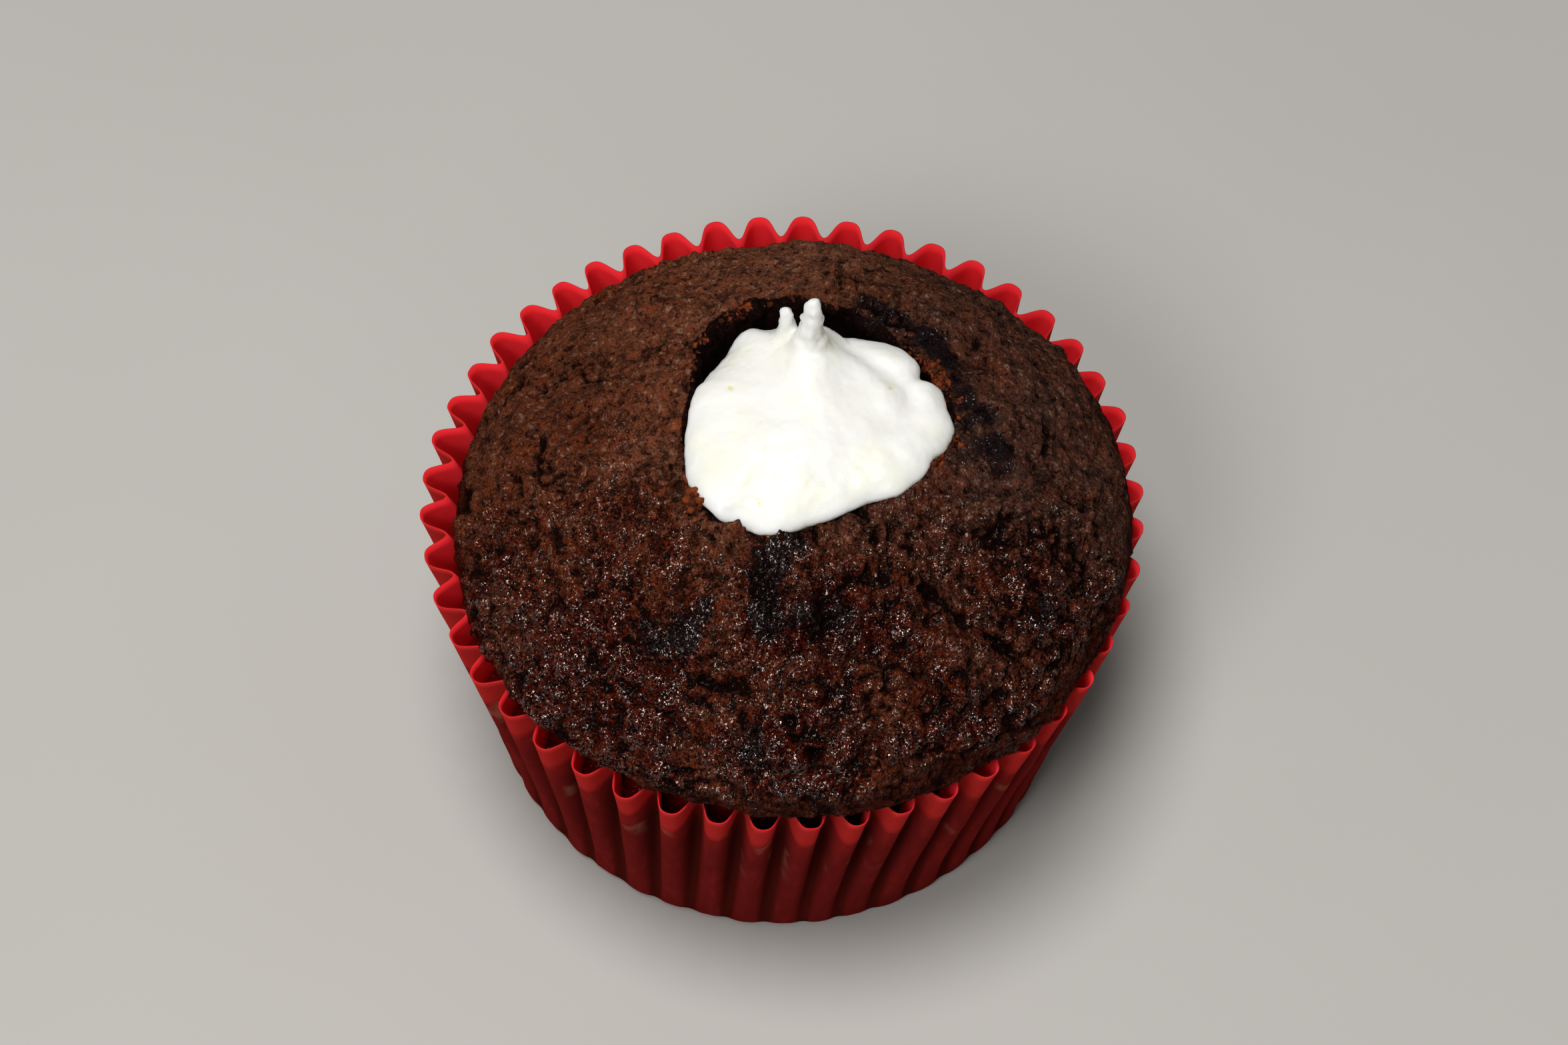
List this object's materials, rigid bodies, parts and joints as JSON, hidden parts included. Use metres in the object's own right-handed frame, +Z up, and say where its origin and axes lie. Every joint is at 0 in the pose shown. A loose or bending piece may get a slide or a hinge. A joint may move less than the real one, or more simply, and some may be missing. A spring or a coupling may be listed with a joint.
{
  "type": "cupcake",
  "caption": "Domed chocolate cupcake in a pleated paper case, with a dollop of cream filling a hole cut in its top.",
  "frame": {"origin": "middle of the flat underside of the paper case", "axes": "+Z up through the cake, -Y towards the front of the cupcake, the side away from the pulled-up tips of the cream, +X to its right"},
  "size_m": [0.0681, 0.0678, 0.0554],
  "materials": {
    "paper": "smooth greaseproof paper, red",
    "crust": "moist baked chocolate crumb",
    "cream": "soft whipped cream"
  },
  "bodies": {
    "root": {"paper_case": "paper", "cake": "crust", "cream": "cream"}
  },
  "joints": []
}
